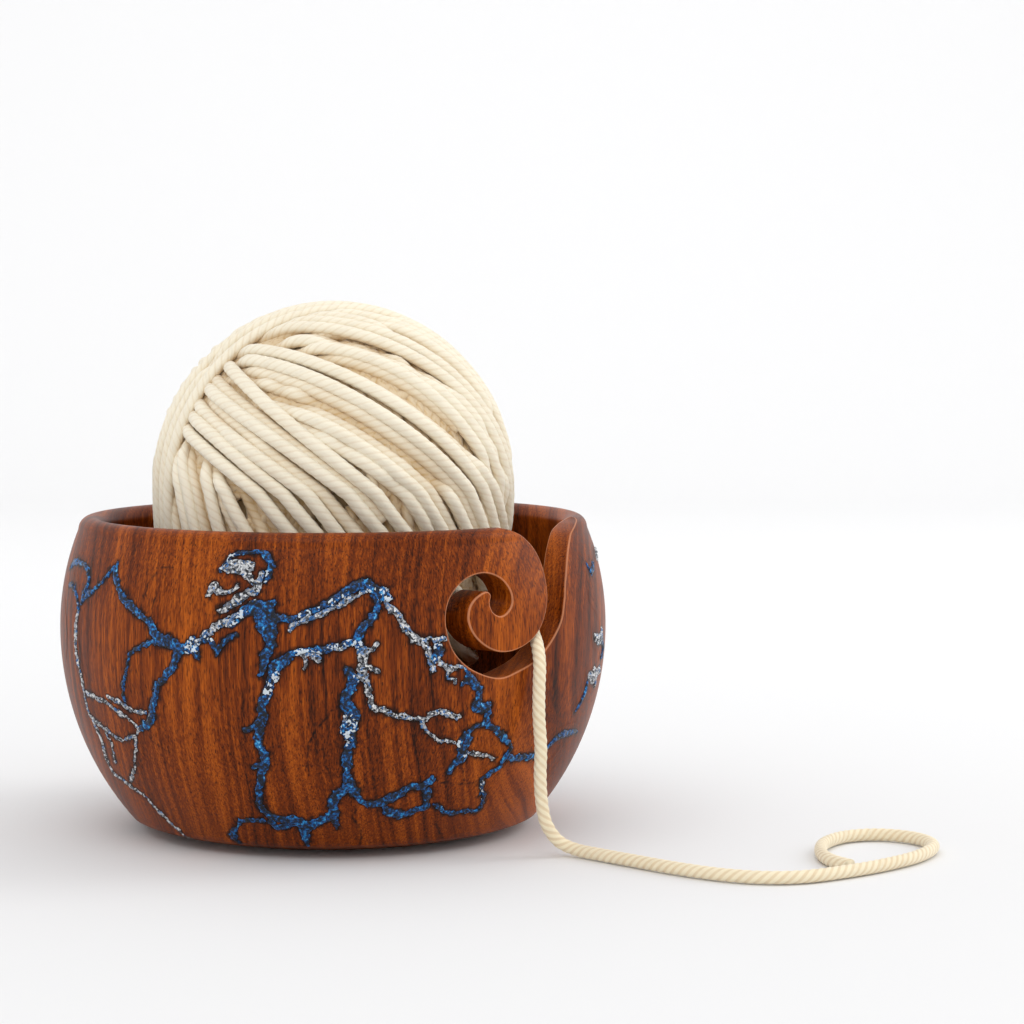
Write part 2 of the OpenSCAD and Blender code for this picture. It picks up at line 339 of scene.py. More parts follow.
# painted shade between the strands: how deep a point lies under the ball's skin, 0 on it and more down
# between the strands, as a share of the darker wool colour. Its height and its way out from the axis are each
# divided by the ball's own radius, and their hypotenuse is
# 1 on the skin
def paintedShadeUnderSkin(tree, nearSkin=0.976, farDown=0.922, most=0.66):
    parts = addNode(tree, "SeparateXYZ", {0: placeInMm(tree, (0, 0, -ball["centre"]))})
    x, y, z = parts.outputs
    tall = maths(tree, "MAXIMUM", maths(tree, "DIVIDE", z, ball["up"]),
                 maths(tree, "DIVIDE", z, -ball["down"]))
    wide = maths(tree, "DIVIDE", hypotenuse(tree, x, y), ball["radius"])
    return mapped(tree, hypotenuse(tree, tall, wide), nearSkin, farDown, 0.0, most)


# cream plied wool: matte, a little fuzzy at the edges, with painted shade, warmer and darker, down in the
# creases between the plies and, where skin is set, down between the ball's strands
def woolMaterial(name, light, dark, plyCreaseShadeDepth=0.75, skin=False):
    made, tree, shader = newMaterial(name)
    place = addNode(tree, "TexCoord").outputs["Object"]
    alongFibre = addNode(tree, "CombineXYZ", {0: maths(tree, "MULTIPLY", attributeOf(tree, "run"), 0.35),
                                              1: maths(tree, "MULTIPLY", attributeOf(tree, "turned"), 34.0)})
    fibre = noiseOf(tree, alongFibre, 1.6, 4.0, 0.65)
    broad = noiseOf(tree, place, 55.0, 2.0, 0.5)
    # painted shade: the darker colour down in the creases between the plies
    plyCreaseShade = mapped(tree, attributeOf(tree, "crease"), 0.25, 1.0, 0.0, plyCreaseShadeDepth)
    tone = swing(tree, broad, 0.35, swing(tree, fibre, 0.55, plyCreaseShade))
    if skin:
        # painted shade: the ball's wool drawn darker the deeper it lies between the strands
        tone = maths(tree, "ADD", tone, paintedShadeUnderSkin(tree))
    factor = maths(tree, "MINIMUM", maths(tree, "MAXIMUM", tone, 0.0), 1.0)
    dress(tree, shader, blendColour(tree, factor, toLinear(light), toLinear(dark)), fibre, 0.55, 0.00035,
          {"Roughness": 0.92, "Specular IOR Level": 0.2, "Sheen Weight": 0.35, "Sheen Roughness": 0.5})
    return made


wool = woolMaterial("cream_plied_wool", "#f8ebcc", "#cda873", 0.4)
slackWool = woolMaterial("slack_cream_wool", "#f8efd9", "#c9a262", 0.22, skin=True)
# the same cream wool drawn darker for the core: painted shade in the gaps between the turns
shadedCoreWool = woolMaterial("shaded_inner_cream_wool", "#cbb184", "#a88d5e")

# Loose strand: off the ball's side, through the foot of the guide, down and over the table.
strand = {
    "diameter": 4.0,
    "realLength": 0.384,
    "route": [
        [58.8, 10, 82], [62, -8, 81], [63.5, -24, 78.5], [63.4, -38, 75.5], [63.6, -47, 73],
        [65, -54, 68.8], [66.2, -59.6, 65.2], [66.8, -63.4, 60], [66.6, -63.8, 53],
        [66.6, -63, 44], [67.2, -62, 34], [67, -61, 26], [67.4, -60.5, 18], [68.8, -60, 10.6],
        [72.5, -59.8, 5], [78, -61.5, 2.5], [85, -68, 2.2], [96, -79, 2.2], [108, -90.5, 2.2],
        [120, -99.5, 2.2], [132, -104, 2.2], [144, -103, 2.2], [157, -95.5, 2.2],
        [171, -84, 2.2], [183, -70, 2.2], [189.5, -54, 2.2], [186, -41, 2.2], [175.5, -34.5, 2.2],
        [164, -38, 2.2], [156, -50, 2.2], [153.5, -65, 2.2], [155, -77, 2.2], [160, -86, 2.2]],
    "steady": (0.6, 0.3, 0.74),      # a direction the strand never runs along, to turn its rings from
}
strandPath, strandRun = evenly(smoothRoute(strand["route"], 12), 0.6)
strandLength = strandRun[-1] * mm
print("strand length %.3f m" % strandLength)
strandUp = np.broadcast_to(unit(strand["steady"]), strandPath.shape)
strandObject = yarnObject("loose_strand", [yarnTube(strandPath, strandUp, strandRun, yarn, 16)], wool)
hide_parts("working_strand")
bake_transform(strandObject)

# the ball's skin in a direction, depth below it: a sphere stretched sideways, up and down by its
# own radii
def envelope(direction, depth):
    scale = np.stack([np.full(len(direction), ball["radius"]), np.full(len(direction), ball["radius"]),
                      np.where(direction[:, 2] > 0, ball["up"], ball["down"])], 1)
    return direction * scale * (1 - depth / ball["radius"])[:, None] + [0, 0, ball["centre"]]


# every turn, the outermost first: the direction that it circles, and how far aside it runs. A
# bundle's direction is turned round its pole by the bundle's slant, so bundles of one pole cross
def woundTurns():
    rng = np.random.default_rng(11)
    bundles = [(unit(normal), 0.0, turns) for normal, turns in ball["outermost"]]
    for pole, count, turns, first in ball["windings"]:
        pole = unit(pole)
        side = unit(np.cross(pole, [0, 0, 1]))
        other = np.cross(pole, side)
        for slant in rng.permutation(first + np.arange(count) * math.pi / count):
            slant = slant + rng.normal(0, 0.03)
            bundles.append((math.cos(slant) * side + math.sin(slant) * other, rng.uniform(-3, 3), turns))
    laid = []
    for normal, shift, turns in bundles:
        for k in rng.permutation(turns):
            aside = shift + (k - (turns - 1) / 2) * ball["spacing"] + rng.normal(0, 0.3)
            laid.append((unit(normal + rng.normal(0, 0.013, 3)), aside / ball["radius"]))
    return laid


# the stretches of a closed path where the mask holds, each from its start to its end
def stretches(path, mask):
    start = int(np.argmin(mask))
    m, p = np.append(np.roll(mask, -start), False), np.roll(path, -start, axis=0)
    edges = np.flatnonzero(np.diff(m.astype(int)))
    return [p[a + 1:b + 1] for a, b in zip(edges[::2], edges[1::2])]


# unit circle round a direction, as a row of directions
def circleRound(normal, t):
    across = unit(np.cross(normal, [0.3, 0.2, 0.93]))
    return np.cos(t)[:, None] * across + np.sin(t)[:, None] * np.cross(normal, across)


# the tube of one stretch of turn, flattened against the ball
def turnTube(piece, step, sides, squeeze, offset=None):
    centre, run = evenly(piece, step)
    outward = unit(centre - [0, 0, ball["centre"]])
    return yarnTube(centre, outward, run if offset is None else run + offset, ballYarn, sides, squeeze)


# each turn is a circle, aside from the ball's middle; where others already lie over it, it sinks by
# one strand's height for each, eased along its length, and where they hide it, it is left out. Two
# coarse maps of directions remember how high the cover is.
def windBall():
    cell, size, samples = ball["cell"], ball["cells"], ball["samples"]
    covered = np.zeros(size ** 3, np.float32)
    hidden = np.zeros(size ** 3, bool)
    rng = np.random.default_rng(5)
    fine, coarse, under = [], [], []
    ease = np.hanning(25)
    ease /= ease.sum()
    t = np.linspace(0, 2 * math.pi, samples, endpoint=False)
    sidestep = np.linspace(-2.0, 2.0, 9) / ball["radius"]     # nine spots across the strand
    for normal, aside in woundTurns():
        wander = aside + sum(rng.normal(0, 0.004) * np.sin(k * t + rng.uniform(0, 6.3)) for k in (2, 3, 5))
        circle = circleRound(normal, t)
        direction = unit(circle * math.sqrt(1 - aside * aside) + wander[:, None] * normal)
        spots = unit(direction[:, None, :] + sidestep[None, :, None] * normal[None, None, :])
        place = np.clip(((spots + 1) / cell).astype(int), 0, size - 1)
        index = (place[..., 0] * size + place[..., 1]) * size + place[..., 2]
        depth = np.minimum(covered[index][:, 3:6].max(1), ball["deepest"])
        wide = np.max([np.roll(depth, s) for s in range(-4, 5)], 0)
        eased = np.convolve(np.concatenate([wide[-12:], wide, wide[:12]]), ease, "valid")
        level = (np.floor(eased + 0.4) + 1)[:, None]
        np.maximum.at(covered, index, np.broadcast_to(level, index.shape))
        path = envelope(direction, ballYarn["radius"] + ball["sink"] * eased)
        buried = hidden[index][:, 2:7].all(1)
        shown = np.max([np.roll(~buried, s) for s in range(-8, 9)], 0)
        hidden[index[shown].ravel()] = True
        upper = shown & (path[:, 2] > ball["fineAbove"] - 3)
        lower = shown & (path[:, 2] < ball["fineAbove"] + 1)
        for store, mask, step, sides in ((fine, upper, 1.2, 12), (coarse, lower, 2.6, 8)):
            pieces = [np.concatenate([path, path[:1]])] if mask.all() else stretches(path, mask)
            for piece in pieces:
                if len(piece) >= ball["shortest"]:
                    store.append(turnTube(piece, step, sides, 0.86, rng.uniform(0, 11)))
    # the layer below them all lies flat and shows only between the others; it has only the turns
    # that dip below its lowest height
    axis = unit(ball["underAxis"])
    e1 = unit(np.cross(axis, [0, 0, 1]))
    e2 = np.cross(axis, e1)
    flat = np.full(samples, ballYarn["radius"] + ball["sink"] * (ball["deepest"] + 0.3))
    for a in np.arange(ball["underTurns"]) * math.pi / ball["underTurns"]:
        normal = unit(ball["underTilt"] * axis + math.cos(a) * e1 + math.sin(a) * e2)
        path = envelope(circleRound(normal, t), flat)
        for piece in stretches(path, path[:, 2] > ball["underAbove"]):
            under.append(turnTube(piece, 2.2, 8, 0.92))
    return fine, coarse, under


fineTurns, coarseTurns, underTurns = windBall()
soFar = np.cumsum([len(turn[1]) for turn in fineTurns])
# four pieces with about as many faces each
group = np.minimum(4 * soFar // soFar[-1], 3)
for k in range(4):
    turns = [turn for turn, g in zip(fineTurns, group) if g == k]
    made = yarnObject("ball_turns_%d" % (k + 1), turns, slackWool)
    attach(made, "ball_windings")
    if k == 0:
        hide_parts("yarn_ball_windings")
    print(made.name, len(made.data.polygons) * 2)
for name, turns in (("ball_turns_low", coarseTurns), ("ball_turns_under", underTurns)):
    made = yarnObject(name, turns, slackWool)
    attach(made, "ball_windings")
    print(made.name, len(made.data.polygons) * 2)


# ball of revolution: radius times the cosine outward, up or down times the sine in height
def ellipsoid(radius, up, down, centre, rows, columns):
    a = np.linspace(-math.pi / 2, math.pi / 2, rows)[1:-1]
    c = np.linspace(0, 2 * math.pi, columns, endpoint=False)
    z = centre + np.where(a > 0, up, down) * np.sin(a)
    r = radius * np.cos(a)
    grid = np.stack([r[:, None] * np.cos(c), r[:, None] * np.sin(c),
                     np.broadcast_to(z[:, None], (rows - 2, columns))], -1)
    points = np.concatenate([grid.reshape(-1, 3), [[0, 0, centre - down], [0, 0, centre + up]]])
    i, j = np.meshgrid(np.arange(rows - 3), np.arange(columns), indexing="ij")
    quads = cellQuads(i, j, columns).reshape(-1, 4)
    j = np.arange(columns)
    k = (j + 1) % columns
    low, high, top = len(points) - 2, len(points) - 1, (rows - 3) * columns
    caps = [np.stack([k, j, np.full(columns, low)], 1),
            np.stack([top + j, top + k, np.full(columns, high)], 1)]
    return points, [quads, *caps]


inner = (ball["deepest"] + 0.3) * ball["sink"] + ballYarn["radius"] * 1.6
radii = [ball[key] - inner for key in ("radius", "up", "down")]
points, faces = ellipsoid(*radii, ball["centre"], 60, 96)
made = meshObject("ball_core", points, faces, shadedCoreWool)
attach(made, "ball_core")
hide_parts("yarn_ball_core")
print("yarn ready")

# the bowl's outline

bowl = {
    "belly": 66.0, "radius": 89.0, "lowerArc": 95.0, "upperArc": 86.0, "foot": 49.0, "heel": 4.5,
    "rimRound": 4.0, "rimHeight": 98.0, "hollowRadius": 79.0, "floor": 14.0, "squareness": 2.8,
    "columns": 240, "edgeRound": 0.55,
}


# outer radius at a height: two arcs that meet at the belly, each its own radius less how far the
# height is off the belly
def outerRadius(z):
    offBelly = (bowl["belly"] - z) ** 2
    low, high = (bowl["radius"] - arc + np.sqrt(np.maximum(arc ** 2 - offBelly, 0))
                 for arc in (bowl["lowerArc"], bowl["upperArc"]))
    return np.where(z < bowl["belly"], low, high)


# radius and height along the whole section: foot, outside, round rim, hollow, inner floor
def outline():
    rimOut = float(outerRadius(bowl["rimHeight"]))
    heel, top, rr = bowl["heel"], bowl["rimHeight"], bowl["rimRound"]
    t = np.linspace(0, 1, 30)[:-1, None]
    heelOut = float(outerRadius(heel))
    footArc = ((1 - t) ** 2 * [[bowl["foot"], 0]] + 2 * t * (1 - t) * [[heelOut - 3.4, 2.6]]
               + t ** 2 * [[heelOut, heel]])
    z = np.linspace(heel, top, 240)
    wall = np.stack([outerRadius(z), z], 1)
    a = np.radians(np.linspace(0, 180, 60))[1:-1]
    rim = np.stack([rimOut - rr + rr * np.cos(a), top + rr * np.sin(a)], 1)
    t = np.linspace(0, 1, 90)
    rimIn = rimOut - 2 * rr
    upper = np.stack([rimIn + (bowl["hollowRadius"] - rimIn) * np.sin(t * math.pi / 2),
                      top + (bowl["belly"] - top) * t], 1)
    a = np.radians(np.linspace(0, 90, 200))[1:]
    power = 2 / bowl["squareness"]
    lower = np.stack([bowl["hollowRadius"] * np.cos(a) ** power,
                      bowl["belly"] - (bowl["belly"] - bowl["floor"]) * np.sin(a) ** power], 1)
    lower[-1, 0] = 0
    return np.concatenate([footArc, wall, rim, upper, lower])


section = outline()
sectionRun = np.concatenate([[0], np.cumsum(np.linalg.norm(np.diff(section, axis=0), axis=1))])
crest = int(np.argmax(section[:, 1]))
crestRun = float(sectionRun[crest])


# point on the section at that run, turned round the bowl's axis, azimuth 0 in front; lift moves
# it off the surface
def onBowl(azimuth, run, lift=0.0):
    r, z = np.interp(run, sectionRun, section[:, 0]), np.interp(run, sectionRun, section[:, 1])
    dr = np.interp(run + 0.2, sectionRun, section[:, 0]) - np.interp(run - 0.2, sectionRun, section[:, 0])
    dz = np.interp(run + 0.2, sectionRun, section[:, 1]) - np.interp(run - 0.2, sectionRun, section[:, 1])
    size = np.maximum(np.hypot(dr, dz), 1e-9)
    r, z = r + lift * dz / size, z - lift * dr / size
    return np.stack([r * np.sin(azimuth), -r * np.cos(azimuth), z], -1)


# where along the section the wall is at a height, on its outside or inside
def runAtHeight(z, inside):
    z = np.minimum(z, section[crest, 1])
    if inside:
        return np.interp(-z, -section[crest:, 1], sectionRun[crest:])
    return np.interp(z, section[:crest + 1, 1], sectionRun[:crest + 1])


# spiral guide

guide = {
    "angle": 50.0,
    # sideways and up, seen along the cut: down the hook, round its curl, back under it, up to the rim
    "edge": [
        [-24, 103.3], [-16, 103], [-6.5, 101], [0, 97], [3, 91.5], [3.8, 84.5], [2.8, 78], [-0.8, 71.5],
        [-5.6, 67.5], [-11.5, 65.2], [-17.2, 64.7], [-22.4, 66.2], [-27, 69.8],
        [-29.2, 74.4], [-28.6, 78.6], [-26, 81.7], [-22, 83.5], [-20.4, 82.3],
        [-21.2, 79.8], [-20.4, 77.2], [-17.9, 75.8], [-15, 76.8], [-12.8, 79.5],
        [-12.9, 83.2], [-15.8, 87], [-21, 88.9], [-27, 87.9], [-32, 84.6],
        [-35.3, 79.7], [-36.2, 73.5], [-34.2, 66.2], [-28.4, 60.4], [-19, 57],
        [-11.2, 58.4], [-1.6, 62.3], [8.5, 71], [12.1, 78], [14.4, 84], [19.3, 92],
        [25.5, 97.6], [32, 100.2], [39.3, 101.8], [46, 104.5]],
    "step": 0.55,
    "window": (12, 102),                          # azimuths between which the wall is meshed round it
}


# where a line along the cut, through each edge point, meets the wall: azimuth and run along the
# section
def guideToDomain(edge, inside):
    run = runAtHeight(edge[:, 1], inside)
    r = np.interp(run, sectionRun, section[:, 0])
    return np.radians(guide["angle"]) + np.arcsin(np.clip(edge[:, 0] / r, -1, 1)), run


# even-odd test of many points against a closed loop
def insideLoop(px, py, loop):
    x0, y0 = loop[:, 0], loop[:, 1]
    x1, y1 = np.roll(x0, -1), np.roll(y0, -1)
    hit = np.zeros(len(px), bool)
    for start in range(0, len(px), 4000):
        x, y = px[start:start + 4000, None], py[start:start + 4000, None]
        rise = np.where(y1 == y0, 1e-12, y1 - y0)
        crossing = ((y0 > y) != (y1 > y)) & (x < (x1 - x0) * (y - y0) / rise + x0)
        hit[start:start + 4000] = crossing.sum(1) % 2 == 1
    return hit


# turned surface as a regular grid of (azimuth, run), a triangulated patch round the guide, and
# the guide's own walls: rows carried from the outer edge line to the inner one, rounded at both
# ends
def buildBowl(material):
    top = section[crest, 1]
    edge, _ = evenly(smoothRoute(guide["edge"], 10), guide["step"])
    heading = unit(np.gradient(edge, axis=0))
    airSide = np.stack([-heading[:, 1], heading[:, 0]], 1)
    loopArea = np.sum(edge[:, 0] * np.roll(edge[:, 1], -1) - np.roll(edge[:, 0], -1) * edge[:, 1])
    if loopArea < 0:
        airSide = -airSide
    setBack = bowl["edgeRound"] * np.clip((top - edge[:, 1]) / 5, 0, 1)
    wood = edge - airSide * setBack[:, None]
    below = np.flatnonzero(edge[:, 1] < top - 1e-6)
    keep = slice(below[0] - 1, below[-1] + 2)
    edge, wood = edge[keep], wood[keep]
    on = {}
    for side in (False, True):
        for kind, line in (("wood", wood), ("edge", edge)):
            a, run = guideToDomain(line, side)
            on[kind, side] = (a, run, onBowl(a, run))
    outer, innerEdge = on["edge", False][2], on["edge", True][2]
    gap = innerEdge - outer
    thick = np.linalg.norm(gap, axis=1)
    share = np.minimum(bowl["edgeRound"] / np.maximum(thick, 1e-6), 0.35)[:, None]
    t = np.linspace(0, 1, 5)[:, None, None]
    firstRound = ((1 - t) ** 2 * on["wood", False][2] + 2 * t * (1 - t) * outer
                  + t ** 2 * (outer + gap * share))
    lastRound = ((1 - t) ** 2 * (innerEdge - gap * share) + 2 * t * (1 - t) * innerEdge
                 + t ** 2 * on["wood", True][2])
    flat = np.linspace(0, 1, 8)[1:-1, None, None]
    cut = np.concatenate([firstRound, firstRound[-1] * (1 - flat) + lastRound[0] * flat, lastRound])

    # the whole grid: rows are runs along the section, columns azimuths; a window round the guide
    # is left out of it
    columns = bowl["columns"]
    azimuth = np.linspace(-math.pi, math.pi, columns, endpoint=False)
    z50, z97 = float(runAtHeight(50.0, False)), float(runAtHeight(97.0, False))
    in97, in50 = float(runAtHeight(97.0, True)), float(runAtHeight(50.0, True))
    innermost = float(sectionRun[-1]) - 3.0
    zHeel = float(runAtHeight(bowl["heel"], False))
    knots = [(0, zHeel, 12), (zHeel, z50, 24), (z50, z97, 30), (z97, in97, 22), (in97, in50, 28),
             (in50, innermost, 46)]                           # from, to, rows
    runs = np.concatenate([np.linspace(a, b, n, endpoint=False) for a, b, n in knots] + [[innermost]])
    lowRow, highRow = (sum(knot[2] for knot in knots[:count]) for count in (2, 5))
    firstColumn, lastColumn = (int(round((math.radians(side) + math.pi) / (2 * math.pi) * columns))
                               for side in guide["window"])
    azimuths, runsAt = np.meshgrid(azimuth, runs)
    grid = onBowl(azimuths, runsAt).reshape(-1, 3)
    i, j = np.meshgrid(np.arange(len(runs) - 1), np.arange(columns), indexing="ij")
    regular = ~((i >= lowRow) & (i < highRow) & (j >= firstColumn) & (j < lastColumn))
    quads = cellQuads(i[regular], j[regular], columns)
    foot, hub = len(grid), len(grid) + 1
    grid = np.concatenate([grid, [[0, 0, 0]], [[0, 0, bowl["floor"]]]])
    j = np.arange(columns)
    k = (j + 1) % columns
    last = (len(runs) - 1) * columns
    caps = [np.stack([k, j, np.full(columns, foot)], 1),
            np.stack([last + j, last + k, np.full(columns, hub)], 1)]

    # the patch: points between the window's border and the cut's outline, triangulated flat
    ratio = 84.0                                              # radius that turns azimuth into millimetres
    loop = np.concatenate([np.stack(on["wood", False][:2], 1),
                           np.stack(on["wood", True][:2], 1)[::-1][1:-1]]) * [ratio, 1]
    low, high = runs[lowRow], runs[highRow]
    left, right = azimuth[firstColumn], azimuth[lastColumn]
    span, up = azimuth[firstColumn:lastColumn + 1], runs[lowRow + 1:highRow]
    border = np.concatenate([np.stack([span, np.full(len(span), low)], 1),
                             np.stack([np.full(len(up), right), up], 1),
                             np.stack([span, np.full(len(span), high)], 1)[::-1],
                             np.stack([np.full(len(up), left), up], 1)[::-1]]) * [ratio, 1]
    fineA = np.arange(left * ratio + 1.0, right * ratio - 1.2, 1.15)
    fineR = np.interp(np.arange(lowRow + 0.5, highRow, 0.5), np.arange(len(runs)), runs)
    gridA, gridR = np.meshgrid(fineA, fineR)
    px, py = (gridA + 0.55 * (np.arange(len(fineR)) % 2)[:, None]).ravel(), gridR.ravel()
    batches = [(px[s:s + 3000, None], py[s:s + 3000, None]) for s in range(0, len(px), 3000)]
    nearest = np.concatenate([np.hypot(x - loop[:, 0], y - loop[:, 1]).min(1) for x, y in batches])
    good = ~insideLoop(px, py, loop) & (nearest > 0.55)
    flatPoints = np.concatenate([border, loop, np.stack([px[good], py[good]], 1)])
    nb, nl = len(border), len(loop)
    edges = [(q, (q + 1) % nb) for q in range(nb)] + [(nb + q, nb + (q + 1) % nl) for q in range(nl)]
    made = delaunay_2d_cdt([Vector(p) for p in flatPoints.tolist()], edges, [], 0, 1e-7)
    flat2 = np.array([v[:] for v in made[0]])
    triangles = np.array([f for f in made[2] if len(f) == 3])
    centres = flat2[triangles].mean(1)
    triangles = triangles[~insideLoop(centres[:, 0], centres[:, 1], loop)]
    patch = onBowl(flat2[:, 0] / ratio, flat2[:, 1])

    cutRows, cutColumns = cut.shape[:2]
    ci, cj = np.meshgrid(np.arange(cutRows - 1), np.arange(cutColumns - 1), indexing="ij")
    cutQuads = cellQuads(ci, cj, cutColumns).reshape(-1, 4)
    points = np.concatenate([grid, patch, cut.reshape(-1, 3)])
    result = meshObject("turned_bowl", points, [quads, *caps, triangles + len(grid),
                                                cutQuads + len(grid) + len(patch)], material)
    # painted highlight: 1 on the rounded edges of the cut, where the wood is drawn paler
    edge_highlight = np.zeros(len(points))                              # 1 on the rounded edges of the cut
    fromEnd = np.minimum(np.arange(cutRows), np.arange(cutRows)[::-1])
    edge_highlight[len(grid) + len(patch):] = np.repeat((fromEnd > 0) & (fromEnd < 4), cutColumns)
    setAttribute(result, "edge_highlight", edge_highlight)
    bm = bmesh.new()
    bm.from_mesh(result.data)
    bmesh.ops.remove_doubles(bm, verts=bm.verts, dist=0.00004)
    bmesh.ops.delete(bm, geom=[v for v in bm.verts if not v.link_faces], context="VERTS")
    slits = [e for e in bm.edges if len(e.link_faces) == 1]   # where the cut meets the crest
    bmesh.ops.holes_fill(bm, edges=slits, sides=8)
    bmesh.ops.recalc_face_normals(bm, faces=bm.faces)
    openEdges = sum(1 for e in bm.edges if len(e.link_faces) != 2)
    bm.to_mesh(result.data)
    bm.free()
    result.data.polygons.foreach_set("use_smooth", [True] * len(result.data.polygons))
    print("bowl faces", len(result.data.polygons), "edges that aren't shared by two faces", openEdges)
    return result


wood = {
    "dark": "#260c02", "mid": "#732f04", "light": "#b45911", "pore": "#1c0802", "char": "#0e0604",
    "edge_highlight": "#d9946c",                            # pale colour painted on the guide's rounded edges as a highlight
    "pith": (-420, 60), "ringWidth": 2.4,
}


# oiled red-brown hardwood with dark upright streaks, fine pores and a satin polish; char darkens
# burnt edges, and a paler colour painted on the guide's rounded edges stands for their highlight
def woodMaterial():
    made, tree, shader = newMaterial("oiled_hardwood")
    inMm = placeInMm(tree, (-wood["pith"][0], -wood["pith"][1], 0))
    warp = addNode(tree, "TexNoise", {"Vector": stretched(tree, inMm, (1, 1, 0.22)), "Scale": 0.012,
                                      "Detail": 2.0}).outputs[1]
    bent = addNode(tree, "VectorMath", {0: warp, 1: (22, 22, 0)}, operation="MULTIPLY")
    shifted = addNode(tree, "VectorMath", {0: inMm, 1: bent}, operation="ADD").outputs[0]
    x, y, z = addNode(tree, "SeparateXYZ", {0: shifted}).outputs
    # growth rings: noise over the distance from the pith, drawn out along the trunk
    rings = addNode(tree, "CombineXYZ", {0: hypotenuse(tree, x, y), 1: maths(tree, "MULTIPLY", z, 0.03)})
    streak = noiseOf(tree, rings, 1.0 / wood["ringWidth"], 5.0, 0.62)
    broad = noiseOf(tree, rings, 0.045, 2.0, 0.5)
    fibre = noiseOf(tree, stretched(tree, inMm, (1.9, 1.9, 0.09)), 1.0, 3.0, 0.6)
    pores = noiseOf(tree, stretched(tree, inMm, (3.2, 3.2, 0.3)), 1.0, 1.0, 0.5)
    tone = swing(tree, fibre, 0.9, swing(tree, broad, 0.8, swing(tree, streak, 1.35, 0.5)))
    colour = colourRamp(tree, tone, [(0.15, wood["dark"]), (0.47, wood["mid"]), (0.85, wood["light"])])
    poreMask = mapped(tree, pores, 0.57, 0.68, 0.0, 0.75)
    colour = blendColour(tree, poreMask, colour, toLinear(wood["pore"]))
    # painted highlight: the guide's rounded edges drawn in a paler wood colour
    edgeHighlightShare = maths(tree, "MULTIPLY", attributeOf(tree, "edge_highlight"), 0.55)
    colour = blendColour(tree, edgeHighlightShare, colour, toLinear(wood["edge_highlight"]))
    colour = blendColour(tree, attributeOf(tree, "char"), colour, toLinear(wood["char"]))
    tree.links.new(mapped(tree, fibre, 0.3, 0.7, 0.34, 0.46), shader.inputs["Roughness"])
    dress(tree, shader, colour, fibre, 0.25, 0.0001,
          {"Specular IOR Level": 0.11, "Coat Weight": 0.04, "Coat Roughness": 0.2})
    return made


hardwood = woodMaterial()
bowlObject = buildBowl(hardwood)
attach(bowlObject, "bowl")
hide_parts("bowl")
print("bowl ready")

# resin veins

